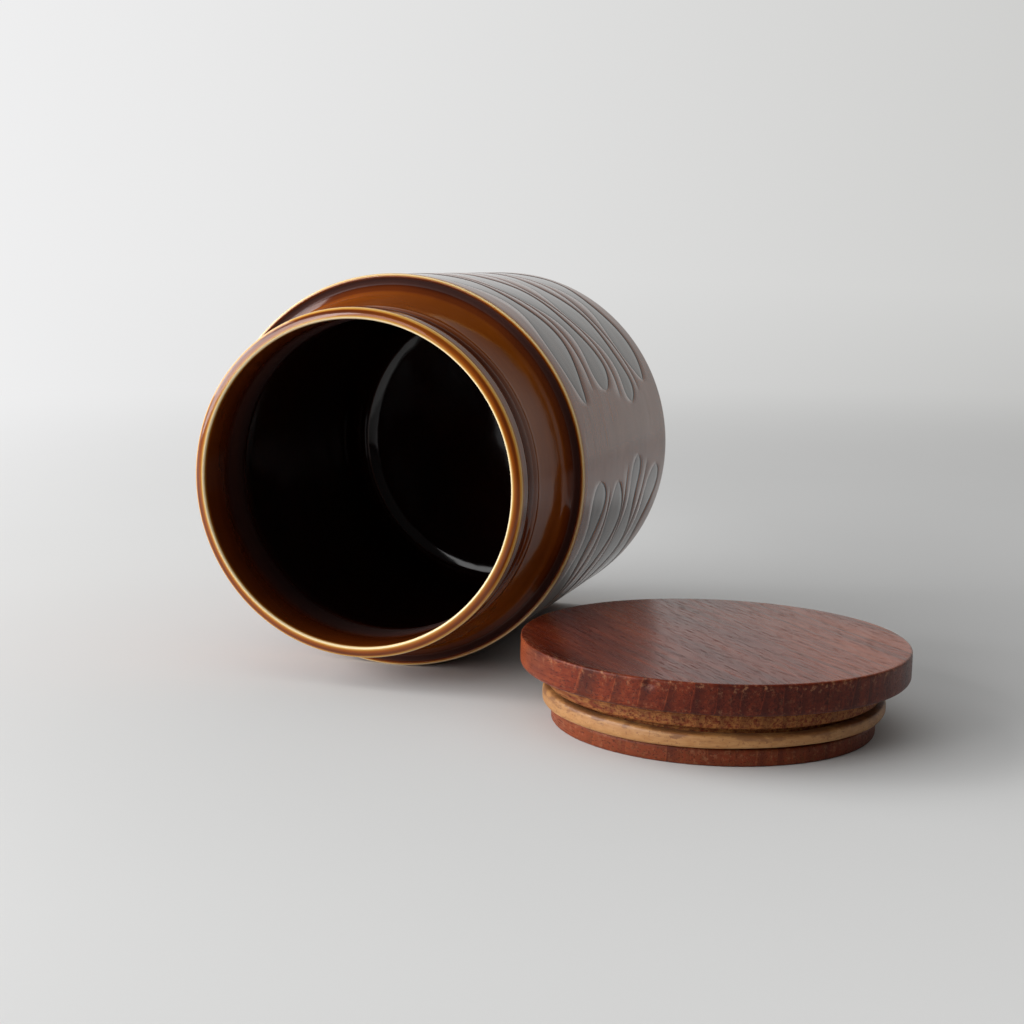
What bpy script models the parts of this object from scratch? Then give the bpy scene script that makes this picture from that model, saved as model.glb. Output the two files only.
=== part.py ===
"""A glazed ceramic storage canister: the jar lies on its side and its turned wooden lid lies beside it.

Run it with blender --background --python part.py, or from Blender's text editor.
Lengths are in metres, +Z is up, and the object stands on z = 0 with its origin under the middle of its box.
The jar's axis lies along Y with its mouth towards -Y, and the lid lies at +X, top face up.
"""
import math

import bpy
from mathutils import Matrix, Vector

MM = 0.001
QUARTER_TURN = math.pi / 2

# Clearance between two pieces that rest against each other
RESTING_GAP = 0.3 * MM

# Flat facets round every turned piece: the jar lies on one of them
FACETS = 64

# Jar body, from its foot up to the crest of its shoulder
BODY_RADIUS = 55.0 * MM
BODY_HEIGHT = 103.7 * MM
BODY_WALL = 5.0 * MM
FLOOR_THICKNESS = 5.5 * MM
FLOOR_FILLET = 8.0 * MM

# Shoulder: a sharp crest with a shallow channel behind it, where the neck's flare ends
SHOULDER_WIDTH = 9.0 * MM
SHOULDER_EDGE = 1.6 * MM
CHANNEL_DEPTH = 0.5 * MM
CHANNEL_INSET = 1.1 * MM
FLARE_HEIGHT = 16.3 * MM
FLARE_TURN_OUT = 0.43
FLARE_TURN_UP = 0.20
INNER_SHOULDER_DROP = 11.5 * MM
INNER_SHOULDER_HEIGHT = 18.0 * MM

# Neck above the flare, with a thin bead and a wide shallow groove under the lip
NECK_STRAIGHT = 2.8 * MM
BEAD_PROUD = 0.25 * MM
BEAD_HEIGHT = 1.4 * MM
BEAD_CREST = 0.5 * MM
GROOVE_DEPTH = 0.3 * MM
GROOVE_HEIGHT = 4.4 * MM

# Lip round the mouth
LIP_HEIGHT = 5.2 * MM
LIP_PROUD = 0.3 * MM
LIP_WALL = 2.9 * MM
LIP_EDGE = 1.1 * MM

# Foot ring under the jar
BASE_EDGE = 1.8 * MM
FOOT_RING_WIDTH = 5.5 * MM
FOOT_RECESS = 1.2 * MM
RECESS_SLOPE = 1.5 * MM

# Lid disc and the plug turned under it
DISC_OVERHANG = 2.5 * MM
DISC_THICKNESS = 7.5 * MM
DISC_TOP_EDGE = 0.5 * MM
DISC_UNDER_EDGE = 1.2 * MM
BAND_HEIGHT = 4.8 * MM
BAND_CLEARANCE = 1.7 * MM
TOE_HEIGHT = 4.1 * MM
TOE_CLEARANCE = 2.7 * MM
TOE_EDGE = 0.6 * MM

# Seal in the plug's groove
SEAL_CLEARANCE = 0.4 * MM
SEAL_WIDTH = 3.7 * MM
SEAL_HEIGHT = 3.6 * MM
SEAL_EDGE = 0.7 * MM
SEAL_SLACK = 1.2 * MM

# Where the lid lies: out from the jar's side, and in front of the shoulder's crest
LID_STAND_OFF = 3.8 * MM
LID_FORWARD = 23.8 * MM

# Points along a small rounded edge, a fillet and the flare
EDGE_STEPS = 3
RIM_STEPS = 4
FILLET_STEPS = 6
FLARE_STEPS = 8
MERGE_DISTANCE = 0.01 * MM

# Sizes of the jar that follow from the ones above
NECK_RADIUS = BODY_RADIUS - SHOULDER_WIDTH
LIP_RADIUS = NECK_RADIUS + LIP_PROUD
MOUTH_RADIUS = LIP_RADIUS - LIP_WALL
CHANNEL_RADIUS = BODY_RADIUS - SHOULDER_EDGE - CHANNEL_INSET
FLARE_FOOT = BODY_HEIGHT - CHANNEL_DEPTH
FLARE_TOP = FLARE_FOOT + FLARE_HEIGHT
BEAD_FOOT = FLARE_TOP + NECK_STRAIGHT
BEAD_TOP = BEAD_FOOT + BEAD_HEIGHT
LIP_FOOT = BEAD_TOP + GROOVE_HEIGHT
JAR_HEIGHT = LIP_FOOT + LIP_HEIGHT
AXIS_HEIGHT = BODY_RADIUS * math.cos(math.pi / FACETS)

# Sizes of the lid and its seal that follow from the jar's mouth
DISC_RADIUS = LIP_RADIUS + DISC_OVERHANG
BAND_RADIUS = MOUTH_RADIUS - BAND_CLEARANCE
TOE_RADIUS = MOUTH_RADIUS - TOE_CLEARANCE
SEAL_RADIUS = MOUTH_RADIUS - SEAL_CLEARANCE
SEAL_BORE_RADIUS = SEAL_RADIUS - SEAL_WIDTH
SEAL_FOOT = TOE_HEIGHT + RESTING_GAP
SEAL_TOP = SEAL_FOOT + SEAL_HEIGHT
GROOVE_RADIUS = SEAL_BORE_RADIUS - RESTING_GAP
GROOVE_TOP = SEAL_TOP + SEAL_SLACK
DISC_FOOT = GROOVE_TOP + BAND_HEIGHT
LID_HEIGHT = DISC_FOOT + DISC_THICKNESS

# Sideways and lengthways reach of the lying pieces, measured from the jar's axis and from its foot
TUCK_HEIGHT = min(LID_HEIGHT, BODY_RADIUS)
JAR_SIDE_AT_LID = math.sqrt(BODY_RADIUS**2 - (BODY_RADIUS - TUCK_HEIGHT) ** 2)
LID_ASIDE = JAR_SIDE_AT_LID + LID_STAND_OFF + DISC_RADIUS
LID_ALONG = BODY_HEIGHT + LID_FORWARD
FAR_SIDE = max(LID_ASIDE + DISC_RADIUS, AXIS_HEIGHT)
FRONT_END = max(JAR_HEIGHT, LID_ALONG + DISC_RADIUS)
BACK_END = min(0.0, LID_ALONG - DISC_RADIUS)
JAR_X = (AXIS_HEIGHT - FAR_SIDE) / 2
JAR_FOOT_Y = (FRONT_END + BACK_END) / 2


def arc(centre, radii, start, end, steps):
    """Points (radius, height) on an ellipse's arc, from angle start to angle end in degrees."""
    points = []
    for step in range(steps + 1):
        angle = math.radians(start + (end - start) * step / steps)
        points.append((centre[0] + radii[0] * math.cos(angle), centre[1] + radii[1] * math.sin(angle)))
    return points


def ease(first, last, steps):
    """Points from first to last whose radius follows half a cosine wave, without the two ends."""
    points = []
    for step in range(1, steps):
        share = step / steps
        swing = (1 - math.cos(math.pi * share)) / 2
        radius = first[0] + (last[0] - first[0]) * swing
        points.append((radius, first[1] + (last[1] - first[1]) * share))
    return points


def bend(first, turn, last, steps):
    """Points along a quadratic curve from first to last that bends towards turn."""
    points = []
    for step in range(steps + 1):
        share = step / steps
        rest = 1 - share
        radius = rest**2 * first[0] + 2 * rest * share * turn[0] + share**2 * last[0]
        points.append((radius, rest**2 * first[1] + 2 * rest * share * turn[1] + share**2 * last[1]))
    return points


def jar_inside():
    """The jar's inner surface, from the middle of its floor up to the lip's inner edge."""
    inner_radius = BODY_RADIUS - BODY_WALL
    fillet_centre = (inner_radius - FLOOR_FILLET, FLOOR_THICKNESS + FLOOR_FILLET)
    mouth_foot = (MOUTH_RADIUS, FLARE_TOP - INNER_SHOULDER_DROP)
    wall_top = (inner_radius, mouth_foot[1] - INNER_SHOULDER_HEIGHT)
    points = [(0.0, FLOOR_THICKNESS)]
    points += arc(fillet_centre, (FLOOR_FILLET, FLOOR_FILLET), -90, 0, FILLET_STEPS)
    points += [wall_top]
    points += ease(wall_top, mouth_foot, FILLET_STEPS)
    points += [mouth_foot]
    return points


def jar_lip():
    """The lip: its two rounded edges and the short side down to the groove."""
    edge_height = JAR_HEIGHT - LIP_EDGE
    edge = (LIP_EDGE, LIP_EDGE)
    points = arc((MOUTH_RADIUS + LIP_EDGE, edge_height), edge, 180, 90, RIM_STEPS)
    points += arc((LIP_RADIUS - LIP_EDGE, edge_height), edge, 90, 0, RIM_STEPS)
    points += [(LIP_RADIUS, LIP_FOOT)]
    points += [(NECK_RADIUS - GROOVE_DEPTH, LIP_FOOT - GROOVE_HEIGHT / 2)]
    return points


def jar_neck():
    """The bead, the neck and its flare down to the channel behind the crest."""
    bead_middle = (BEAD_FOOT + BEAD_TOP) / 2
    turn_radius = NECK_RADIUS + (CHANNEL_RADIUS - NECK_RADIUS) * FLARE_TURN_OUT
    turn = (turn_radius, FLARE_FOOT + FLARE_HEIGHT * FLARE_TURN_UP)
    points = [(NECK_RADIUS + BEAD_PROUD, bead_middle + BEAD_CREST / 2)]
    points += [(NECK_RADIUS + BEAD_PROUD, bead_middle - BEAD_CREST / 2)]
    points += [(NECK_RADIUS, BEAD_FOOT)]
    points += bend((NECK_RADIUS, FLARE_TOP), turn, (CHANNEL_RADIUS, FLARE_FOOT), FLARE_STEPS)
    return points


def jar_body():
    """The crest's rounded edge, the straight side, and the rounded edge at the foot."""
    crest = (BODY_RADIUS - SHOULDER_EDGE, BODY_HEIGHT - SHOULDER_EDGE)
    foot = (BODY_RADIUS - BASE_EDGE, BASE_EDGE)
    points = arc(crest, (SHOULDER_EDGE, SHOULDER_EDGE), 90, 0, RIM_STEPS)
    points += arc(foot, (BASE_EDGE, BASE_EDGE), 0, -90, EDGE_STEPS)
    return points


def jar_underside():
    """The flat foot ring and the shallow recess inside it."""
    ring_inner = BODY_RADIUS - BASE_EDGE - FOOT_RING_WIDTH
    return [(ring_inner, 0.0), (ring_inner - RECESS_SLOPE, FOOT_RECESS), (0.0, FOOT_RECESS)]


def lid_outline():
    """The lid's outline: down the disc's edge, in under it and down the plug with its groove."""
    top_edge = (DISC_RADIUS - DISC_TOP_EDGE, LID_HEIGHT - DISC_TOP_EDGE)
    under_edge = (DISC_RADIUS - DISC_UNDER_EDGE, DISC_FOOT + DISC_UNDER_EDGE)
    toe_edge = (TOE_RADIUS - TOE_EDGE, TOE_EDGE)
    points = [(0.0, LID_HEIGHT)]
    points += arc(top_edge, (DISC_TOP_EDGE, DISC_TOP_EDGE), 90, 0, EDGE_STEPS)
    points += arc(under_edge, (DISC_UNDER_EDGE, DISC_UNDER_EDGE), 0, -90, EDGE_STEPS)
    points += [(BAND_RADIUS, DISC_FOOT), (BAND_RADIUS, GROOVE_TOP)]
    points += [(GROOVE_RADIUS, GROOVE_TOP), (GROOVE_RADIUS, TOE_HEIGHT), (TOE_RADIUS, TOE_HEIGHT)]
    points += arc(toe_edge, (TOE_EDGE, TOE_EDGE), 0, -90, EDGE_STEPS)
    points += [(0.0, 0.0)]
    return points


def seal_outline():
    """The seal's section, a band with rounded outer edges, as a closed loop."""
    outer = SEAL_RADIUS - SEAL_EDGE
    edge = (SEAL_EDGE, SEAL_EDGE)
    points = [(SEAL_BORE_RADIUS, SEAL_FOOT), (SEAL_BORE_RADIUS, SEAL_TOP)]
    points += arc((outer, SEAL_TOP - SEAL_EDGE), edge, 90, 0, EDGE_STEPS)
    points += arc((outer, SEAL_FOOT + SEAL_EDGE), edge, 0, -90, EDGE_STEPS)
    return points


def plain_material(name, colour, roughness):
    """A Principled material of one colour."""
    material = bpy.data.materials.new(name)
    material.use_nodes = True
    shader = material.node_tree.nodes["Principled BSDF"]
    shader.inputs["Base Color"].default_value = (*colour, 1.0)
    shader.inputs["Roughness"].default_value = roughness
    shader.inputs["Metallic"].default_value = 0.0
    return material


def turned(name, outline, closed, material, collection):
    """An object whose outline, at +X, a Screw modifier turns round its own Z axis."""
    mesh = bpy.data.meshes.new(name)
    count = len(outline)
    edges = [(index, index + 1) for index in range(count - 1)]
    if closed:
        edges.append((count - 1, 0))
    mesh.from_pydata([(radius, 0.0, height) for radius, height in outline], edges, [])
    mesh.materials.append(material)
    piece = bpy.data.objects.new(name, mesh)
    collection.objects.link(piece)
    screw = piece.modifiers.new("Turn", "SCREW")
    screw.axis = "Z"
    screw.angle = 2 * math.pi
    screw.steps = FACETS
    screw.render_steps = FACETS
    screw.use_merge_vertices = True
    screw.merge_threshold = MERGE_DISTANCE
    screw.use_smooth_shade = True
    return piece


def lay_down(piece):
    """Lay the jar along Y, mouth towards -Y, on the middle of one of its facets."""
    half_facet = Matrix.Rotation(math.pi / FACETS, 3, "Z")
    tip_over = Matrix.Rotation(QUARTER_TURN, 3, "X")
    piece.rotation_mode = "QUATERNION"
    piece.rotation_quaternion = (tip_over @ half_facet).to_quaternion()
    piece.location = Vector((JAR_X, JAR_FOOT_Y, AXIS_HEIGHT))


def clear_scene():
    """Remove what the scene holds, so that a second run starts afresh."""
    for thing in list(bpy.data.objects):
        bpy.data.objects.remove(thing, do_unlink=True)


def build():
    """Make the jar, the lid and the seal, and put each where it lies."""
    clear_scene()
    canister = bpy.data.collections.new("ceramic_canister")
    bpy.context.scene.collection.children.link(canister)
    glaze = plain_material("treacle_glaze", (0.12, 0.045, 0.02), 0.15)
    wood = plain_material("red_brown_wood", (0.19, 0.06, 0.035), 0.5)
    rubber = plain_material("amber_seal", (0.46, 0.25, 0.08), 0.6)

    jar_outline = jar_inside() + jar_lip() + jar_neck() + jar_body() + jar_underside()
    jar = turned("jar", jar_outline, False, glaze, canister)
    lay_down(jar)

    lid_place = bpy.data.objects.new("lid_place", None)
    canister.objects.link(lid_place)
    lid_place.location = Vector((JAR_X + LID_ASIDE, JAR_FOOT_Y - LID_ALONG, 0.0))
    lid = turned("lid", lid_outline(), False, wood, canister)
    lid.parent = lid_place
    seal = turned("seal_ring", seal_outline(), True, rubber, canister)
    seal.parent = lid_place


build()
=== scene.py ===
"""Looks of the ceramic canister: a treacle-glazed jar on its side, and its turned wooden lid beside it.

Lengths are in metres in the row's own frame: +Z is up, the jar's axis lies along Y with its mouth towards -Y,
and the lid lies at +X. Every piece is a surface worked out on a grid with numpy, and every finish is a graph
of nodes that reads the piece's own attributes or its place.
"""
import logging
import math
from dataclasses import dataclass
from enum import Enum
from typing import Any, Union

import bpy
import numpy as np
from mathutils import Matrix, Vector


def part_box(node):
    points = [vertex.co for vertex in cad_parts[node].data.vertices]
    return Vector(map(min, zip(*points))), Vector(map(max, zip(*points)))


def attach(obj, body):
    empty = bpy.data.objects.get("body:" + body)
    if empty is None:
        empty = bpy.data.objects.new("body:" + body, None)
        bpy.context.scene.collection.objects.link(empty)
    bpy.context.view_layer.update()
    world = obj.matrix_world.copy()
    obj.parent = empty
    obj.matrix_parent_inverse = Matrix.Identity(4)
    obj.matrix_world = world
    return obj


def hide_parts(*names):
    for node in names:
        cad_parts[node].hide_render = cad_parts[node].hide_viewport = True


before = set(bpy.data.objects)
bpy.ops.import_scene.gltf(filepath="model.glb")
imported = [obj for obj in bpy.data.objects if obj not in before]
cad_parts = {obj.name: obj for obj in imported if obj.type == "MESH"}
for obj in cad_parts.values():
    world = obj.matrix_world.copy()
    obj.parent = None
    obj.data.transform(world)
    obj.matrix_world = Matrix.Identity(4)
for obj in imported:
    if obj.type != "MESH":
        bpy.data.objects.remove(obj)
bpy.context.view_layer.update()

MM = 0.001

Colour = tuple[float, float, float]
Point = tuple[float, float, float]

log = logging.getLogger("canister")


class Body(Enum):
    """The CAD bodies that the pieces ride on."""

    JAR = "jar"
    LID = "lid"


class Slot(Enum):
    """Names for the material slots."""

    GLAZE = "treacle_glaze"
    WOOD = "red_brown_wood"
    SEAL = "amber_seal"


class Bend(Enum):
    """How a run of an outline goes from its first point to its last."""

    STRAIGHT = "straight"
    HEIGHT_FIRST = "a quarter ellipse that leaves along the axis"
    RADIUS_FIRST = "a quarter ellipse that leaves across the axis"
    WAVE = "half a cosine wave in radius"


class Ends(Enum):
    """How the rows of a grid are closed."""

    POLES = "the first and the last row are each one point on the axis"
    LOOP = "the last row joins the first"


def soft_step(low: float, high: float, value: np.ndarray) -> np.ndarray:
    """A smooth step, 3 t^2 - 2 t^3 with t the share of the way from low to high.

    Args:
        low: The value at which the step leaves 0.
        high: The value at which the step reaches 1.
        value: The values to step.

    Returns:
        The step at each value, from 0 to 1.
    """
    share = np.clip((value - low) / (high - low), 0.0, 1.0)
    return share * share * (3.0 - 2.0 * share)


def angles(count: int) -> np.ndarray:
    """Evenly spaced angles, once round from 0."""
    return np.arange(count) * 2 * math.pi / count


def upright(centre: Vector, radius: np.ndarray, height: np.ndarray) -> np.ndarray:
    """Turn radii and heights about an upright axis, to (x + r cos a, y + r sin a, h) for angle a.

    Args:
        centre: The axis's foot.
        radius: The radii, row by column, with the columns once round.
        height: The heights, row by column.

    Returns:
        The points.
    """
    angle = angles(radius.shape[1])
    return np.stack((centre.x + radius * np.cos(angle), centre.y + radius * np.sin(angle), height), axis=-1)


class Outline:
    """The outline of a turned piece, run by run: radius, height and how deep the glaze or wear is there."""

    def __init__(self, radius: float, height: float, depth: float) -> None:
        """Start the outline at one point.

        Args:
            radius: Distance from the axis.
            height: Height along the axis.
            depth: The finish's depth there, from 0 to 1.
        """
        self._runs = [np.array([[radius, height, depth]])]

    def to(
        self,
        radius: float,
        height: float,
        depth: Union[float, tuple[float, ...]],
        rows: int = 1,
        bend: Bend = Bend.STRAIGHT,
        by_way_of: Union[tuple[float, float], None] = None,
    ) -> "Outline":
        """Go on to another point.

        With t the share of the run, a straight run takes t for both coordinates, a quarter ellipse takes
        1 - cos(t pi/2) for one and sin(t pi/2) for the other, and a wave takes (1 - cos(t pi))/2 for radius.
        A run by way of a point c bends towards it as a quadratic curve,
        (1 - t)^2 first + 2 t (1 - t) c + t^2 last.

        Args:
            radius: Distance from the axis at the run's end.
            height: Height along the axis at the run's end.
            depth: The finish's depth at the end, or several depths, evenly spaced along the run.
            rows: How many rows of the grid the run takes.
            bend: The run's form.
            by_way_of: The radius and height that the run bends towards.

        Returns:
            The outline itself, so that runs can follow on.
        """
        last = self._runs[-1][-1]
        share = np.arange(1, rows + 1) / rows
        early = 1.0 - np.cos(share * math.pi / 2)
        late = np.sin(share * math.pi / 2)
        across, along = {
            Bend.STRAIGHT: (share, share),
            Bend.HEIGHT_FIRST: (early, late),
            Bend.RADIUS_FIRST: (late, early),
            Bend.WAVE: ((1.0 - np.cos(share * math.pi)) / 2, share),
        }[bend]
        depths = (last[2], *depth) if isinstance(depth, tuple) else (last[2], depth)
        run = np.empty((rows, 3))
        run[:, 0] = last[0] + (radius - last[0]) * across
        run[:, 1] = last[1] + (height - last[1]) * along
        if by_way_of is not None:
            away, near = (1.0 - share) ** 2, 2.0 * share * (1.0 - share)
            run[:, 0] = away * last[0] + near * by_way_of[0] + share**2 * radius
            run[:, 1] = away * last[1] + near * by_way_of[1] + share**2 * height
        run[:, 2] = np.interp(share, np.linspace(0.0, 1.0, len(depths)), depths)
        self._runs.append(run)
        return self

    def stations(self) -> np.ndarray:
        """All rows as one array with the columns radius, height and depth."""
        return np.concatenate(self._runs)


@dataclass
class GridSurface:
    """A closed surface on a grid whose columns go once round, with named values at its points."""

    name: str
    points: np.ndarray
    fields: dict[str, np.ndarray]
    ends: Ends = Ends.POLES

    def _numbered(self) -> tuple[np.ndarray, np.ndarray]:
        """Number the grid's points, each pole once.

        Returns:
            The number of each grid point, and which points of the flat grid the numbers stand for.
        """
        rows, columns = self.points.shape[:2]
        flat = np.arange(rows * columns).reshape(rows, columns)
        if self.ends is Ends.LOOP:
            return flat, flat.ravel()
        kept = np.concatenate(([0], flat[1:-1].ravel(), [flat[-1, 0]]))
        numbers = np.empty((rows, columns), dtype=np.int64)
        numbers[0] = 0
        numbers[1:-1] = 1 + np.arange((rows - 2) * columns).reshape(rows - 2, columns)
        numbers[-1] = len(kept) - 1
        return numbers, kept

    def _faces(self, numbers: np.ndarray) -> tuple[np.ndarray, np.ndarray]:
        """Join the grid's points.

        Args:
            numbers: The number of each grid point.

        Returns:
            The triangles and the quads, as rows of point numbers.
        """
        ahead = np.roll(numbers, -1, axis=1)
        if self.ends is Ends.LOOP:
            above, above_ahead = np.roll(numbers, -1, axis=0), np.roll(ahead, -1, axis=0)
            quads = np.stack((numbers, ahead, above_ahead, above), axis=-1).reshape(-1, 4)
            return np.empty((0, 3), dtype=np.int64), quads
        inner, inner_ahead = numbers[1:-2], ahead[1:-2]
        outer, outer_ahead = numbers[2:-1], ahead[2:-1]
        quads = np.stack((inner, inner_ahead, outer_ahead, outer), axis=-1).reshape(-1, 4)
        first = np.stack((numbers[0], ahead[1], numbers[1]), axis=-1)
        last = np.stack((numbers[-1], numbers[-2], ahead[-2]), axis=-1)
        return np.concatenate((first, last)), quads

    @staticmethod
    def _volume(points: np.ndarray, triangles: np.ndarray, quads: np.ndarray) -> float:
        """Work out the volume inside the faces, the sum of a . (b x c) / 6 over all triangles.

        Args:
            points: The points.
            triangles: The triangles, as rows of point numbers.
            quads: The quads, as rows of point numbers.

        Returns:
            The volume, which is negative if the surface is inside out.
        """
        split = np.concatenate((triangles, quads[:, [0, 1, 2]], quads[:, [0, 2, 3]]))
        a, b, c = points[split[:, 0]], points[split[:, 1]], points[split[:, 2]]
        return float(np.einsum("ij,ij->i", a, np.cross(b, c)).sum() / 6.0)

    def to_object(self, material: bpy.types.Material) -> bpy.types.Object:
        """Make the mesh and its object.

        Args:
            material: The piece's finish.

        Returns:
            An object at the origin whose mesh holds the surface and its attributes.
        """
        numbers, kept = self._numbered()
        points = self.points.reshape(-1, 3)[kept]
        triangles, quads = self._faces(numbers)
        if self._volume(points - points.mean(axis=0), triangles, quads) < 0:
            triangles, quads = triangles[:, ::-1], quads[:, ::-1]
        corners = np.concatenate((triangles.ravel(), quads.ravel())).astype(np.int32)
        counts = np.concatenate((np.full(len(triangles), 3), np.full(len(quads), 4)))
        starts = np.concatenate(([0], np.cumsum(counts)[:-1])).astype(np.int32)
        mesh = bpy.data.meshes.new(self.name)
        mesh.vertices.add(len(points))
        mesh.vertices.foreach_set("co", points.astype(np.float32).ravel())
        mesh.loops.add(len(corners))
        mesh.loops.foreach_set("vertex_index", corners)
        mesh.polygons.add(len(counts))
        mesh.polygons.foreach_set("loop_start", starts)
        mesh.update(calc_edges=True)
        mesh.polygons.foreach_set("use_smooth", np.ones(len(counts), dtype=bool))
        for name, values in self.fields.items():
            attribute = mesh.attributes.new(name, "FLOAT", "POINT")
            attribute.data.foreach_set("value", values.ravel()[kept].astype(np.float32))
        mesh.materials.append(material)
        piece = bpy.data.objects.new(self.name, mesh)
        bpy.context.scene.collection.objects.link(piece)
        return piece


class Wire:
    """An output socket, or a plain number, whose arithmetic adds Math nodes to its graph."""

    def __init__(self, graph: "Graph", source: Any) -> None:
        """Hold a socket or a number.

        Args:
            graph: The graph that new nodes go into.
            source: A node's output socket, or a number.
        """
        self.graph = graph
        self.source = source

    def math(self, operation: str, *others: Any, clamp: bool = False) -> "Wire":
        """Add a Math node with this wire first.

        Args:
            operation: The Math node's operation.
            others: Its other values, wires or numbers.
            clamp: Whether the result is kept from 0 to 1.

        Returns:
            The node's result.
        """
        settings = {"operation": operation, "use_clamp": clamp}
        inputs = dict(enumerate((self, *others)))
        return self.graph.node("ShaderNodeMath", settings, inputs)

    def __add__(self, other: Any) -> "Wire":
        """This plus other."""
        return self.math("ADD", other)

    def __radd__(self, other: Any) -> "Wire":
        """Other plus this."""
        return self.math("ADD", other)

    def __sub__(self, other: Any) -> "Wire":
        """This minus other."""
        return self.math("SUBTRACT", other)

    def __rsub__(self, other: Any) -> "Wire":
        """Other minus this."""
        return Wire(self.graph, other).math("SUBTRACT", self)

    def __mul__(self, other: Any) -> "Wire":
        """This times other."""
        return self.math("MULTIPLY", other)

    def __rmul__(self, other: Any) -> "Wire":
        """Other times this."""
        return self.math("MULTIPLY", other)

    def __truediv__(self, other: Any) -> "Wire":
        """This over other."""
        return self.math("DIVIDE", other)

    def __pow__(self, other: Any) -> "Wire":
        """This to the power other."""
        return self.math("POWER", other)

    def step(self, low: float, high: float) -> "Wire":
        """A smooth step of this wire, 0 at low and 1 at high."""
        inputs = {"Value": self, "From Min": low, "From Max": high}
        return self.graph.node("ShaderNodeMapRange", {"interpolation_type": "SMOOTHSTEP"}, inputs)

    def clamped(self) -> "Wire":
        """This wire kept from 0 to 1."""
        return self.math("ADD", 0.0, clamp=True)


def length(first: Wire, second: Wire) -> Wire:
    """The length of the vector with these two parts, sqrt(a^2 + b^2)."""
    return (first * first + second * second) ** 0.5


class Graph:
    """A tree of shader nodes under construction."""

    def __init__(self, tree: bpy.types.NodeTree) -> None:
        """Empty a tree and start afresh in it.

        Args:
            tree: The node tree of a material or of the world.
        """
        self.tree = tree
        tree.nodes.clear()

    def node(
        self,
        kind: str,
        settings: Union[dict[str, Any], None] = None,
        inputs: Union[dict[Any, Any], None] = None,
        output: Union[int, str] = 0,
    ) -> Wire:
        """Add one node of any type.

        Args:
            kind: The node's type.
            settings: Its settings by name, set before its inputs. "stops" are a ramp's places and colours.
            inputs: Values, colours or wires by the name or number of the input.
            output: The name or number of the output that is wanted.

        Returns:
            That output as a wire.
        """
        made = self.tree.nodes.new(kind)
        for name, value in (settings or {}).items():
            if name == "stops":
                self._set_stops(made.color_ramp, value)
            else:
                setattr(made, name, value)
        for name, value in (inputs or {}).items():
            plain = value.source if isinstance(value, Wire) else value
            if isinstance(plain, bpy.types.NodeSocket):
                self.tree.links.new(plain, made.inputs[name])
            elif isinstance(plain, tuple) and len(plain) == 3 and made.inputs[name].type == "RGBA":
                made.inputs[name].default_value = (*plain, 1.0)
            else:
                made.inputs[name].default_value = plain
        return Wire(self, made.outputs[output] if len(made.outputs) else None)

    @staticmethod
    def _set_stops(ramp: bpy.types.ColorRamp, stops: list[tuple[float, Colour]]) -> None:
        """Give a colour ramp its stops.

        Args:
            ramp: The ramp.
            stops: Each stop's place and colour, in order.
        """
        while len(ramp.elements) < len(stops):
            ramp.elements.new(1.0)
        for element, (place, colour) in zip(ramp.elements, stops):
            element.position = place
            element.color = (*colour, 1.0)

    def ramp(self, value: Wire, stops: list[tuple[float, Colour]]) -> Wire:
        """The colour that a ramp gives at a value."""
        return self.node("ShaderNodeValToRGB", {"stops": stops}, {"Fac": value}, "Color")

    def mix(self, share: Wire, first: Any, second: Any) -> Wire:
        """Two colours mixed: the Mix node takes them as its inputs 6 and 7 and gives its output 2."""
        return self.node("ShaderNodeMix", {"data_type": "RGBA"}, {0: share, 6: first, 7: second}, 2)

    def noise(self, place: Wire, scale: float, detail: float = 3.0, roughness: float = 0.5) -> Wire:
        """Smooth noise from about 0.25 to 0.75 at a place."""
        inputs = {"Vector": place, "Scale": scale, "Detail": detail, "Roughness": roughness}
        return self.node("ShaderNodeTexNoise", None, inputs, "Fac")

    def place(self) -> Wire:
        """The shaded point in the row's frame."""
        return self.node("ShaderNodeTexCoord", None, None, "Object")

    def parts(self, vector: Wire) -> tuple[Wire, Wire, Wire]:
        """Split a vector.

        Args:
            vector: The vector.

        Returns:
            Its three components.
        """
        made = self.node("ShaderNodeSeparateXYZ", None, {0: vector})
        outputs = made.source.node.outputs
        return Wire(self, outputs[0]), Wire(self, outputs[1]), Wire(self, outputs[2])

    def attribute(self, name: str) -> Wire:
        """A value that the mesh holds at its points."""
        return self.node("ShaderNodeAttribute", {"attribute_name": name}, None, "Fac")

    def stretched(self, vector: Wire, scale: Point) -> Wire:
        """A vector times a fixed scale for each component."""
        return self.node("ShaderNodeVectorMath", {"operation": "MULTIPLY"}, {0: vector, 1: scale})

    def bump(self, height: Wire, distance: float, strength: float) -> Wire:
        """The normal of a surface that rises by height times distance."""
        inputs = {"Strength": strength, "Distance": distance, "Height": height}
        return self.node("ShaderNodeBump", None, inputs, "Normal")

    def surface(self, shader: Wire) -> None:
        """Give a material its surface."""
        self.node("ShaderNodeOutputMaterial", None, {"Surface": shader})

    def principled(self, inputs: dict[str, Any]) -> None:
        """Give a material a Principled surface with these inputs."""
        self.surface(self.node("ShaderNodeBsdfPrincipled", None, inputs))


def new_material(name: str) -> tuple[bpy.types.Material, Graph]:
    """Make a material with an empty graph.

    Args:
        name: The material's name.

    Returns:
        The material and its graph.
    """
    material = bpy.data.materials.new(name)
    material.use_nodes = True
    return material, Graph(material.node_tree)


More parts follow.
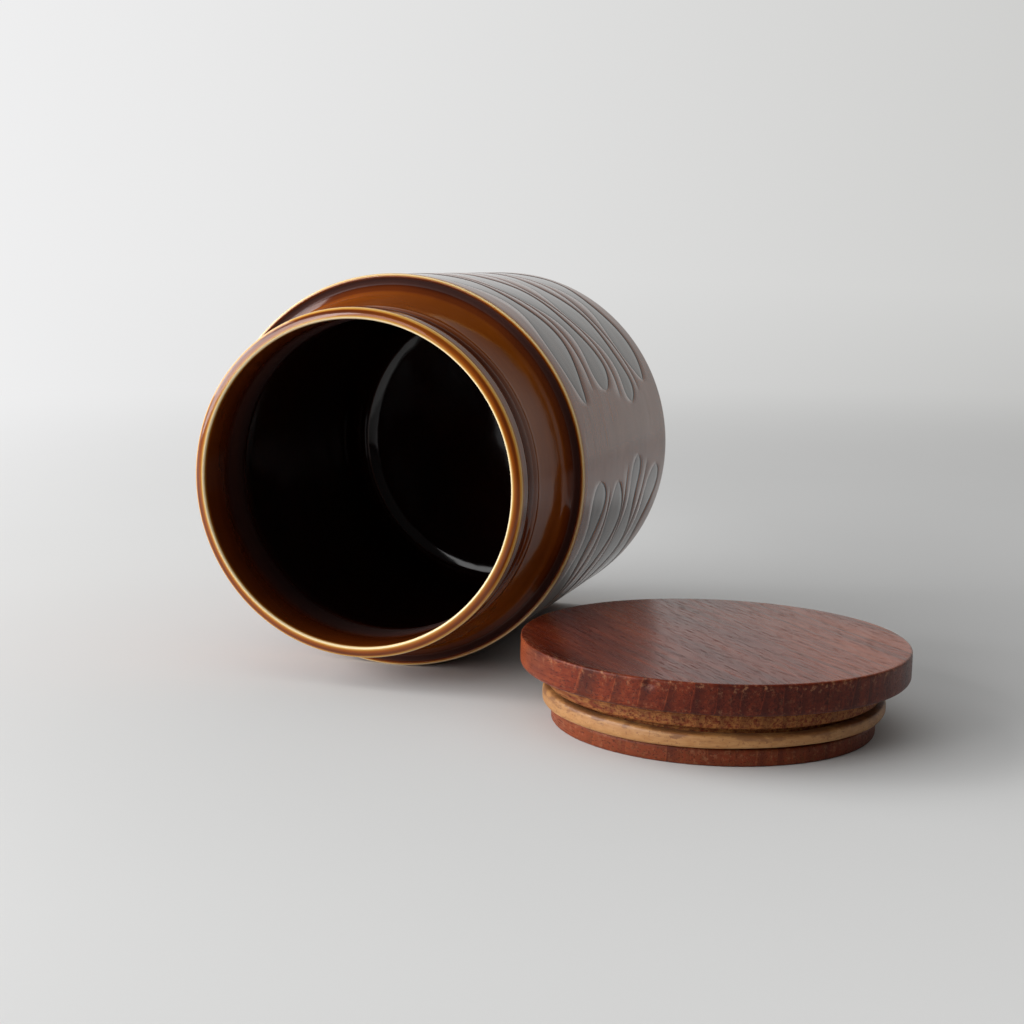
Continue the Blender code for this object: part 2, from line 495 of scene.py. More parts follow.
@dataclass(frozen=True)
class TreacleGlaze:
    """Brown glaze over pale clay: near black where it pools, amber where it thins, pale on sharp edges.

    The pale edges are partly thin glaze over the clay and partly a painted highlight.
    """

    # painted highlight: this pale edge colour is brighter than thin glaze alone, standing in for the glint on
    # the lip's and the crest's edges
    cream_and_highlight: Colour = (0.92, 0.76, 0.47)
    gold: Colour = (0.62, 0.33, 0.065)
    amber: Colour = (0.30, 0.073, 0.006)
    chestnut: Colour = (0.125, 0.024, 0.003)
    treacle: Colour = (0.045, 0.007, 0.0015)
    pooled: Colour = (0.010, 0.0015, 0.001)
    smoke: Colour = (0.012, 0.013, 0.009)
    clay: Colour = (0.56, 0.45, 0.32)
    clay_shade: float = 0.72
    gloss: float = 0.07
    streak: float = 0.07
    wheel_marks: float = 0.2
    channel_depths: tuple[float, float] = (0.64, 0.78)
    inside_depths: tuple[float, float] = (0.88, 0.93)
    channel_matt: float = 0.85
    clay_matt: float = 0.75
    sunk_smoke: float = 0.8
    sunk_coat: float = 0.36

    def colour(self, graph: Graph, depth: Wire, clouds: Wire) -> Wire:
        """Work out the glaze's colour from its depth.

        The depth is changed a little by noise that runs along the jar, by broad clouds and by rings from
        the wheel, though not on the thinnest edges.

        Args:
            graph: The graph to work in.
            depth: The glaze's depth.
            clouds: Broad noise.

        Returns:
            The colour.
        """
        place = graph.place()
        runs = graph.noise(graph.stretched(place, (1.0, 0.22, 1.0)), 130.0, 3.0)
        thrown = graph.noise(graph.stretched(place, (0.14, 1.0, 0.14)), 240.0, 3.0)
        uneven = (runs - 0.5) * self.streak + (clouds - 0.5) * (2.0 * self.streak)
        uneven = uneven + (thrown - 0.5) * self.wheel_marks
        stops = [
            (0.0, self.cream_and_highlight),
            (0.13, self.gold),
            (0.32, self.amber),
            (0.52, self.chestnut),
            (0.74, self.treacle),
            (1.0, self.pooled),
        ]
        return graph.ramp((depth + uneven * depth.step(0.1, 0.5)).clamped(), stops)

    def build(self) -> bpy.types.Material:
        """Make the glaze's material.

        Where the glaze pools in the shoulder's channel it is matt. Fine unevenness and faint rings are in
        the normal.

        Returns:
            The material.
        """
        material, graph = new_material("TreacleGlaze")
        place = graph.place()
        depth, bare, sunk = (graph.attribute(name) for name in ("glaze_depth", "bare_clay", "sunk"))
        clouds = graph.noise(place, 28.0, 2.0)
        grit = graph.noise(place, 1800.0, 4.0, 0.7).step(0.35, 0.65)
        clay = graph.mix(grit, self.clay, tuple(self.clay_shade * part for part in self.clay))
        glazed = graph.mix(sunk * self.sunk_smoke, self.colour(graph, depth, clouds), self.smoke)
        pooling = depth.step(*self.channel_depths) * (1.0 - depth.step(*self.inside_depths))
        smooth = self.gloss + (clouds - 0.4) * 0.06 + pooling * self.channel_matt
        swell = graph.noise(place, 55.0, 2.0)
        rings = graph.noise(graph.stretched(place, (0.0, 1.0, 0.0)), 420.0, 2.0)
        pits = graph.noise(place, 900.0, 2.0)
        graph.principled(
            {
                "Base Color": graph.mix(bare, glazed, clay),
                "Roughness": smooth + bare * self.clay_matt,
                "IOR": 1.45,
                "Coat Weight": sunk * self.sunk_coat,
                "Coat Roughness": 0.1,
                "Normal": graph.bump(swell + rings * 0.10 + pits * 0.02, 0.35 * MM, 0.5),
            }
        )
        return material


@dataclass(frozen=True)
class TurnedWood:
    """Dense red-brown wood: dark growth rings, short pores along the fibres, satin from handling."""

    centre: Point
    fibre_degrees: float = -50.0
    ring_width: float = 4.6 * MM
    ring_bend: float = 1.9
    pith: tuple[float, float] = (0.21, 0.004)
    light: Colour = (0.325, 0.070, 0.021)
    middle: Colour = (0.145, 0.022, 0.008)
    dark: Colour = (0.038, 0.007, 0.005)
    worn: Colour = (0.42, 0.20, 0.10)
    band: Colour = (0.40, 0.165, 0.045)
    pore: Colour = (0.018, 0.005, 0.004)
    tone: float = 0.60
    cloud_tone: float = 0.6
    fibre_tone: float = 0.8
    ring_tone: float = 0.25
    # painted shade: how fast the top darkens towards the jar's side, and the disc's edge towards the front
    # and right
    top_shade_slope: float = 7.0
    side_shade_slope: float = 9.0
    side_tone: float = 0.10
    plug_shade: float = 0.35
    satin: float = 0.19

    def along_fibres(self, graph: Graph) -> Wire:
        """Turn the pattern's space so that the fibres run along X.

        Args:
            graph: The graph to work in.

        Returns:
            The shaded point, from the piece's centre.
        """
        turn = (0.0, 0.0, math.radians(self.fibre_degrees))
        inputs = {"Vector": graph.place(), "Location": self.centre, "Rotation": turn}
        return graph.node("ShaderNodeMapping", {"vector_type": "TEXTURE"}, inputs)

    def rings(self, graph: Graph, place: Wire) -> tuple[Wire, Wire]:
        """Work out the growth rings.

        A ring's place is the distance from the pith, sqrt((y - pith y)^2 + (z - pith z)^2), over the
        rings' width, bent by slow noise.

        Args:
            graph: The graph to work in.
            place: The shaded point, with the fibres along X.

        Returns:
            The share of its ring that a point has passed, and how strong the ring's dark line is there.
        """
        _, across, up = graph.parts(place)
        bend = graph.noise(graph.stretched(place, (0.12, 1.0, 0.25)), 75.0, 3.0)
        radius = length(across - self.pith[0], up - self.pith[1])
        share = (radius / self.ring_width + (bend - 0.5) * self.ring_bend).math("FRACT")
        strong = graph.noise(graph.stretched(place, (0.10, 1.0, 0.3)), 140.0, 1.0).step(0.38, 0.62)
        return share, share.step(0.35, 0.85) * (1.0 - share.step(0.93, 1.0)) * (strong * 0.7 + 0.3)

    def body(self, graph: Graph, place: Wire, share: Wire, fibres: Wire) -> Wire:
        """Work out the wood's colour before its lines and pores.

        The top has painted shade: darker towards the left, beside the jar, and lighter towards the right.
        The disc's edge sits a step lighter than the top, with painted shade that darkens it towards the
        front and the right and lightens it towards the back and the left. The plug is darker, with a paler
        band above the seal.

        Args:
            graph: The graph to work in.
            place: The shaded point, with the fibres along X.
            share: The share of its ring that the point has passed.
            fibres: Fine noise along the fibres.

        Returns:
            The colour.
        """
        ahead, across, _ = graph.parts(place)
        top, plug = graph.attribute("top"), graph.attribute("plug")
        clouds = graph.noise(graph.stretched(place, (0.22, 1.0, 1.0)), 85.0, 3.0)
        tone = (clouds - 0.5) * (top * self.cloud_tone + self.cloud_tone) + (fibres - 0.5) * self.fibre_tone
        tone = tone + self.tone + (share - 0.5) * self.ring_tone
        # painted shade: the disc's edge darkens towards the front and the right and lightens towards the back
        # and the left
        edge_shade = ahead * (1.0 - plug * 1.6).clamped() * self.side_shade_slope
        # painted shade: the top darkens towards the left, beside the jar, and lightens towards the right
        tone = tone + top * across * self.top_shade_slope + (1.0 - top) * (self.side_tone - edge_shade)
        tone = (tone - plug * self.plug_shade).clamped()
        body = graph.ramp(tone, [(0.0, self.dark), (0.45, self.middle), (1.0, self.light)])
        pale = graph.mix(fibres.step(0.35, 0.7), self.band, self.middle)
        return graph.mix(plug * plug * 0.75, body, pale)

    def build(self) -> bpy.types.Material:
        """Make the wood's material, with fewer lines and pores on the top than on the edges.

        Returns:
            The material.
        """
        material, graph = new_material("TurnedWood")
        place = self.along_fibres(graph)
        top, plug, wear = (graph.attribute(name) for name in ("top", "plug", "wear"))
        share, line = self.rings(graph, place)
        fibres = graph.noise(graph.stretched(place, (0.03, 1.0, 1.0)), 1300.0, 3.0, 0.6)
        pore = graph.noise(graph.stretched(place, (0.07, 1.0, 1.0)), 2900.0, 1.0).step(0.57, 0.68)
        grain = graph.noise(graph.stretched(place, (0.08, 1.0, 1.0)), 2200.0, 2.0).step(0.44, 0.60)
        flecks = graph.noise(place, 700.0, 4.0, 0.75).step(0.52, 0.66)
        colour = self.body(graph, place, share, fibres)
        colour = graph.mix(line * (0.8 - plug * 0.45 - top * 0.25), colour, self.dark)
        colour = graph.mix(pore * (0.55 - top * 0.27), colour, self.pore)
        colour = graph.mix((wear * flecks).clamped() * 0.55, colour, self.worn)
        height = fibres * 0.4 - pore * 0.45 - line * 0.1
        graph.principled(
            {
                "Base Color": colour,
                "Roughness": self.satin + grain * 0.08 + pore * 0.2 + plug * 0.2 + (1.0 - top) * 0.15,
                "IOR": 1.26,
                "Normal": graph.bump(height, 0.06 * MM, 0.5),
            }
        )
        return material


@dataclass(frozen=True)
class AmberSeal:
    """An old amber rubber band: waxy, blotched, with pits and darker edges."""

    pale: Colour = (0.48, 0.250, 0.092)
    amber: Colour = (0.355, 0.155, 0.046)
    stain: Colour = (0.15, 0.052, 0.018)
    waxy: float = 0.5

    def build(self) -> bpy.types.Material:
        """Make the seal's material from blotches, streaks along the band and a stained upper edge.

        Returns:
            The material.
        """
        material, graph = new_material("AmberSeal")
        place = graph.place()
        blotch = graph.noise(place, 120.0, 3.0, 0.6)
        smear = graph.noise(graph.stretched(place, (1.0, 1.0, 2.5)), 170.0, 4.0, 0.6)
        streaks = graph.noise(graph.stretched(place, (0.25, 0.25, 1.0)), 1600.0, 2.0)
        pits = graph.noise(place, 1500.0, 2.0)
        rise = graph.attribute("rise")
        edge = (rise * 0.9 + (smear - 0.5) * 5.0).step(0.25, 0.95) + (0.0 - rise).step(0.90, 0.99) * 0.4
        colour = graph.mix((blotch + streaks * 1.6 - 0.95).clamped(), self.amber, self.pale)
        stained = (edge * (streaks * 0.8 + 0.5) + pits.step(0.60, 0.70) * 0.7).clamped()
        graph.principled(
            {
                "Base Color": graph.mix(stained * 0.75, colour, self.stain),
                "Roughness": self.waxy + (blotch - 0.5) * 0.2,
                "IOR": 1.5,
                "Normal": graph.bump(streaks * 0.6 + pits * 0.5, 0.15 * MM, 0.6),
            }
        )
        return material


@dataclass(frozen=True)
class Ripples:
    """Shallow bands that run round the jar's side like ripples, in panels with plain strips between them.

    edge and line give the places of rows, in mm outwards from a band's edge or from a thread's middle,
    and edge_depth, core_depth and line_depth say how deep these rows are sunk, from 0 to 1.
    """

    bands: int = 4
    panels: int = 3
    plain_degrees: float = 10.0
    plain_width: float = 17.0 * MM
    swing: float = 2.7 * MM
    wave: float = 57.0 * MM
    lag: float = 1.7
    calm_end: float = 9.0 * MM
    half_width: float = 6.2 * MM
    width_swing: float = 2.3 * MM
    width_wave: float = 36.0 * MM
    width_lag: float = 2.3
    least_width: float = 0.3 * MM
    stagger: float = 6.0 * MM
    stagger_lag: float = 2.4
    round_end: float = 9.0 * MM
    depth: float = 0.24 * MM
    sunk_from: tuple[float, float] = (0.35 * MM, 1.4 * MM)
    edge_from: float = 1.6 * MM
    edge: tuple[float, ...] = (0.50, 0.15, -0.20, -0.60, -1.20)
    edge_depth: tuple[float, ...] = (0.0, 0.38, 0.76, 0.54, 0.40)
    core_from: tuple[float, float] = (1.5 * MM, 3.5 * MM)
    core_share: float = 0.4
    core_gap: float = 0.04 * MM
    core_depth: tuple[float, ...] = (0.34, 0.30, 0.34)
    line: tuple[float, ...] = (0.60, 0.28, 0.0, -0.28, -0.60)
    line_depth: tuple[float, ...] = (0.0, 0.3, 0.5, 0.3, 0.0)

    def ends(self, number: float, side: np.ndarray, reach: float) -> np.ndarray:
        """Round a band's two ends off: sqrt(1 - p^2), with p the share of the round end that is passed.

        Args:
            number: The band's number, counted from the jar's shoulder.
            side: Distance round the jar from the panel's middle, column by column.
            reach: Half the panel's length.

        Returns:
            The share of its full width that the band has, column by column.
        """
        end = reach - self.stagger * (1.0 + math.sin(self.stagger_lag * number)) / 2
        past = np.clip((np.abs(side) - end + self.round_end) / self.round_end, 0.0, 1.0)
        return np.sqrt(1.0 - past**2)

    def middle_line(self, number: float, side: np.ndarray, reach: float, height: float) -> np.ndarray:
        """The height of band n's middle line, its own height plus swing sin(2 pi s / wave + lag n)."""
        calm = 1.0 - soft_step(reach - self.calm_end, reach + self.plain_width / 2, np.abs(side))
        return height + self.swing * calm * np.sin(2 * math.pi * side / self.wave + self.lag * number)

    def band(
        self, number: int, side: np.ndarray, reach: float, middle: float
    ) -> tuple[np.ndarray, np.ndarray]:
        """Work out one sunk band's rows.

        Its half width is h + v sin(2 pi s / width wave + width lag n) at distance s from the panel's
        middle, and shrinks at its ends. The rows lie at set distances from the two edges, so the mesh
        follows the band and its edges stay crisp.

        Args:
            number: The band's number, counted from the jar's shoulder.
            side: Distance round the jar from the panel's middle, column by column.
            reach: Half the panel's length.
            middle: The height of the band's middle line.

        Returns:
            The rows' heights and how deep they are sunk, from 0 to 1, both row by column.
        """
        line = self.middle_line(number, side, reach, middle)
        swing = np.sin(2 * math.pi * side / self.width_wave + self.width_lag * number)
        width = (self.half_width + self.width_swing * swing) * self.ends(number, side, reach)
        width = np.maximum(width, self.least_width)
        offset = np.array(self.edge)[:, None] * MM
        squeezed = np.where(offset < 0, offset * np.minimum(1.0, width / self.edge_from), offset)
        upper, lower = line + width + squeezed, line - width - squeezed[::-1]
        sides = np.array([[1.0], [0.0], [-1.0]])
        core = line + self.core_share * width * sides * soft_step(*self.core_from, width)
        core += self.core_gap * sides
        shares = np.array([*self.edge_depth, *self.core_depth, *self.edge_depth[::-1]])
        return np.concatenate((upper, core, lower)), shares[:, None] * soft_step(*self.sunk_from, width)

    def thread(
        self, number: float, side: np.ndarray, reach: float, middle: float
    ) -> tuple[np.ndarray, np.ndarray]:
        """Work out the rows of one fine line between two bands.

        Args:
            number: The line's number, half way between its neighbours'.
            side: Distance round the jar from the panel's middle, column by column.
            reach: Half the panel's length.
            middle: The height of the line.

        Returns:
            The rows' heights and how deep they are sunk, from 0 to 1, both row by column.
        """
        offset, share = (np.array(values)[:, None] for values in (self.line, self.line_depth))
        heights = self.middle_line(number, side, reach, middle) + offset * MM
        return heights, share * self.ends(number, side, reach)

    def rows(self, round_way: np.ndarray, top: float, foot: float) -> tuple[np.ndarray, np.ndarray]:
        """Work out all rows on the jar's side, from its shoulder to its foot.

        Args:
            round_way: Distance round the jar, column by column.
            top: Height of the side's upper end.
            foot: Height of its lower end.

        Returns:
            The rows' heights and how deep they are sunk, from 0 to 1, both row by column.
        """
        pitch = round_way[-1] / (len(round_way) - 1) * len(round_way) / self.panels
        start = math.radians(self.plain_degrees) / (2 * math.pi) * pitch * self.panels
        side = np.mod(round_way - start, pitch) - pitch / 2
        reach = (pitch - self.plain_width) / 2
        step = (top - foot) / self.bands
        level = np.zeros((1, len(side)))
        heights, shares = [level + top], [level]
        for number in range(self.bands):
            middle = top - (number + 0.5) * step
            runs = [self.band(number, side, reach, middle)]
            if number < self.bands - 1:
                runs.append(self.thread(number + 0.5, side, reach, middle - step / 2))
            for height, sunk in runs:
                heights += [(heights[-1][-1:] + height[:1]) / 2, height]
                shares += [level, sunk]
        heights += [(heights[-1][-1:] + foot) / 2, level + foot]
        shares += [level, level]
        return np.concatenate(heights), np.concatenate(shares)


@dataclass
class Jar:
    """The glazed jar: one turned wall from the middle of its floor, over its lip, to its foot's middle."""

    columns: int = 450
    body_radius: float = 55.0 * MM
    body_height: float = 103.7 * MM
    wall: float = 5.0 * MM
    floor: float = 5.5 * MM
    fillet: float = 8.0 * MM
    dish: float = 1.7 * MM
    dish_share: float = 0.3
    neck_radius: float = 46.0 * MM
    channel_radius: float = 52.3 * MM
    channel_depth: float = 0.5 * MM
    cove_height: float = 16.3 * MM
    cove_flare: float = 2.7 * MM
    cove_turn: float = 3.3 * MM
    inner_drop: float = 11.5 * MM
    inner_height: float = 18.0 * MM
    neck_straight: float = 2.8 * MM
    bead_proud: float = 0.30 * MM
    step_out: float = 0.6 * MM
    groove: float = 1.0 * MM
    lip_reach: float = 11.0 * MM
    lip_radius: float = 46.6 * MM
    mouth_radius: float = 43.4 * MM
    crest_edge: tuple[float, float] = (0.9 * MM, 0.75 * MM)
    foot_edge: float = 1.8 * MM
    foot_ring: float = 5.5 * MM
    recess: float = 1.2 * MM
    recess_slope: float = 1.5 * MM
    bare_inset: tuple[float, float] = (0.4 * MM, 0.5 * MM)
    side_top: float = 4.2 * MM
    side_foot: float = 4.5 * MM
    side_glaze: float = 0.40
    sunk_glaze: float = 0.62
    pool_rate: float = 1.6
    smoke_rate: float = 2.5
    ripples: Ripples = Ripples()

    @property
    def cove_foot(self) -> float:
        """Height of the channel's bottom, from which the neck's flare rises."""
        return self.body_height - self.channel_depth

    @property
    def cove_top(self) -> float:
        """Height at which the flare has become the straight neck."""
        return self.cove_foot + self.cove_height

    @property
    def bead_foot(self) -> float:
        """Height of the foot of the small bead on the neck."""
        return self.cove_top + self.neck_straight

    @property
    def top(self) -> float:
        """Height of the lip."""
        return self.bead_foot + self.lip_reach

    def _inside(self) -> Outline:
        """Start the outline in the middle of the dished floor and go up the inner wall to the mouth.

        Returns:
            The outline so far.
        """
        bore, mouth, top = self.body_radius - self.wall, self.mouth_radius, self.top
        flat, rim, rise = self.dish_share * bore, bore - self.fillet, self.floor + self.dish
        shoulder = self.cove_top - self.inner_drop
        path = Outline(0.0, self.floor, 0.97)
        path.to(flat, self.floor, 0.97, 4)
        path.to(rim, rise, 0.97, 10, by_way_of=((flat + rim) / 2, self.floor))
        path.to(bore, rise + self.fillet, 0.99, 9, by_way_of=(bore, rise + 0.7 * MM))
        path.to(bore, shoulder - self.inner_height, 0.97, 3)
        path.to(mouth, shoulder, 0.93, 9, Bend.WAVE)
        path.to(mouth, top - 14.0 * MM, 0.72, 3)
        path.to(mouth, top - 5.0 * MM, 0.53, 3)
        path.to(mouth, top - 2.0 * MM, 0.50, 2)
        return path.to(mouth, top - 0.8 * MM, 0.22, 2)

    def _over_lip(self, path: Outline) -> None:
        """Go on over the lip, with a thin glaze on both its edges, and down into the groove under it.
        The edges' pale colour is partly a painted highlight.

        Args:
            path: The outline so far, which ends in the mouth.
        """
        mouth, lip, top = self.mouth_radius, self.lip_radius, self.top
        swell = lip + 0.05 * MM
        brow = (mouth + 1.9 * MM, top - 0.12 * MM)
        cheek = (lip - 0.22 * MM, top - 0.97 * MM)
        path.to(mouth + 0.55 * MM, top, (0.05, 0.0, 0.0, 0.08), 7, Bend.HEIGHT_FIRST)
        path.to(mouth + 0.95 * MM, top - 0.03 * MM, 0.28, 2)
        path.to(lip - 0.7 * MM, top - 0.62 * MM, (0.36, 0.45, 0.51, 0.46, 0.22), 9, by_way_of=brow)
        path.to(lip - 0.15 * MM, top - 1.35 * MM, (0.12, 0.06, 0.28), 6, by_way_of=cheek)
        path.to(swell, top - 4.6 * MM, (0.44, 0.46, 0.46), 6)
        path.to(lip - 0.35 * MM, top - 6.6 * MM, 0.60, 4, by_way_of=(swell, top - 6.0 * MM))
        path.to(self.neck_radius - self.groove, top - 7.2 * MM, 0.68, 2)

    def _down_neck(self, path: Outline) -> None:
        """Go on down the neck, over its bead and its flare, through the channel and over the crest.

        Args:
            path: The outline so far, which ends in the groove under the lip.
        """
        neck, cove_foot, cove_top, bead_foot = self.neck_radius, self.cove_foot, self.cove_top, self.bead_foot
        bead, straight = neck + self.bead_proud, neck + self.step_out
        path.to(bead, bead_foot + 0.8 * MM, 0.56, 3)
        path.to(bead, bead_foot + 0.4 * MM, 0.29, 1)
        path.to(neck - 0.25 * MM, bead_foot - 0.2 * MM, 0.52, 2)
        path.to(straight, cove_top - 0.2 * MM, 0.40, 3)
        path.to(straight, cove_top - 0.8 * MM, 0.37, 2)
        depths = (0.36, 0.37, 0.38, 0.38, 0.38, 0.38, 0.38, 0.42, 0.52)
        spread, rise = self.channel_radius - 1.8 * MM, cove_foot + 1.5 * MM
        turn = (neck + self.cove_flare, cove_foot + self.cove_turn)
        path.to(spread, rise, depths, 16, by_way_of=turn)
        flat = self.channel_radius + 0.6 * MM
        slide = (spread + 1.0 * MM, rise - 0.78 * MM)
        path.to(flat, cove_foot + 0.12 * MM, (0.56, 0.70, 0.82), 8, by_way_of=slide)
        inset, drop = self.crest_edge
        corner = (flat + 0.55 * MM, cove_foot - 0.1 * MM)
        path.to(self.body_radius - inset, self.body_height, (0.84, 0.50), 5, by_way_of=corner)
        # the crest's thin glaze, whose pale colour is partly a painted highlight
        depths = (0.24, 0.05, 0.02, 0.10, 0.32)
        path.to(self.body_radius, self.body_height - drop, depths, 8, Bend.RADIUS_FIRST)

    def upper_outline(self) -> np.ndarray:
        """The outline from the middle of the jar's floor, over its lip, to the top of its side.

        Returns:
            Rows of radius, height and the glaze's depth: 0 where it is thinnest and 1 where it pools.
        """
        path = self._inside()
        self._over_lip(path)
        self._down_neck(path)
        return path.stations()

    def lower_outline(self) -> np.ndarray:
        """The outline from the foot of the jar's side to the middle of its foot.

        Returns:
            Rows of radius, height and the glaze's depth, as upper_outline gives them.
        """
        ring = self.body_radius - self.foot_edge
        path = Outline(self.body_radius, 2.9 * MM, self.side_glaze)
        path.to(self.body_radius, self.foot_edge, self.side_glaze, 1)
        path.to(ring, 0.0, (0.18, 0.25), 4, Bend.HEIGHT_FIRST)
        path.to(ring - self.foot_ring, 0.0, 0.5, 3)
        path.to(ring - self.foot_ring - self.recess_slope, self.recess, 0.9, 2)
        path.to(0.0, self.recess, 0.85, 4)
        return path.stations()

    def surface(self) -> GridSurface:
        """Turn the outline about the jar's axis, with the rippled side between its two parts.

        A point is (axis x + r cos a, foot y - h, axis z + r sin a) for column angle a, never under the table.

        Returns:
            The jar's surface in the row's frame.
        """
        low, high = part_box("jar")
        angle = angles(self.columns)
        top, foot = self.body_height - self.side_top, self.side_foot
        side_height, sunk = self.ripples.rows(self.body_radius * angle, top, foot)
        pooled = np.minimum(1.0, self.pool_rate * sunk)
        side = (
            self.body_radius - self.ripples.depth * sunk,
            side_height,
            self.side_glaze + (self.sunk_glaze - self.side_glaze) * pooled,
        )
        upper, lower = self.upper_outline(), self.lower_outline()
        whole = np.ones((1, self.columns))
        radius, height, depth = (
            np.concatenate((upper[:, [k]] * whole, side[k], lower[:, [k]] * whole)) for k in range(3)
        )
        outer, inner = self.bare_inset
        outside = self.body_radius - self.foot_edge
        ring = (radius < outside - outer) & (radius > outside - self.foot_ring + inner)
        bare = ring & (height < 0.02 * MM)
        hollow = np.zeros(radius.shape)
        hollow[len(upper):-len(lower)] = np.minimum(1.0, self.smoke_rate * sunk)
        points = np.empty((*radius.shape, 3))
        points[..., 0] = (low.x + high.x) / 2 + radius * np.cos(angle)
        points[..., 1] = high.y - height
        points[..., 2] = np.maximum((low.z + high.z) / 2 + radius * np.sin(angle), 0.0)
        fields = {"glaze_depth": depth, "bare_clay": bare.astype(float), "sunk": hollow}
        return GridSurface("glazed_jar", points, fields)

    def build(self, glaze: TreacleGlaze) -> list[bpy.types.Object]:
        """Make the jar, which stands for its CAD node.

        Args:
            glaze: The jar's finish.

        Returns:
            The jar's one piece.
        """
        piece = self.surface().to_object(glaze.build())
        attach(piece, Body.JAR.value)
        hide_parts("jar")
        return [piece]


@dataclass(frozen=True)
class SealBand:
    """The lid's seal: a flat band that sits askew in its groove, a little uneven all round."""

    columns: int = 480
    rows: int = 28
    radius: float = 42.85 * MM
    bore: float = 39.3 * MM
    foot: float = 4.75 * MM
    top: float = 8.25 * MM
    tilt_degrees: float = 20.0
    squareness: float = 0.5

    def surface(self, centre: Vector) -> GridSurface:
        """Carry the band's section round the plug.

        The section is a superellipse, (cos b, sin b) with each part to the power 1/2 and its sign kept.
        Its foot, its top and its outer side rise and fall with the angle as sums of sines.

        Args:
            centre: The middle of the lid's foot.

        Returns:
            The seal's surface in the row's frame.
        """
        angle, around = angles(self.columns), angles(self.rows)
        section = np.stack((np.cos(around), np.sin(around)))[:, :, None]
        across, upward = np.sign(section) * np.abs(section) ** self.squareness
        tilt = np.cos(angle - math.radians(self.tilt_degrees))
        foot = self.foot + 0.45 * MM * tilt + 0.10 * MM * np.sin(5 * angle + 0.7)
        top = self.top - 0.20 * MM * tilt + 0.30 * MM * np.cos(2 * angle - 0.6)
        top += 0.08 * MM * np.sin(9 * angle)
        outer = self.radius + 0.12 * MM * np.sin(4 * angle + 1.0) + 0.06 * MM * np.sin(17 * angle)
        radius = (outer + self.bore) / 2 + (outer - self.bore) / 2 * across
        height = (foot + top) / 2 + (top - foot) / 2 * upward
        rise = np.repeat(upward, self.columns, axis=1)
        return GridSurface("seal_band", upright(centre, radius, height), {"rise": rise}, Ends.LOOP)


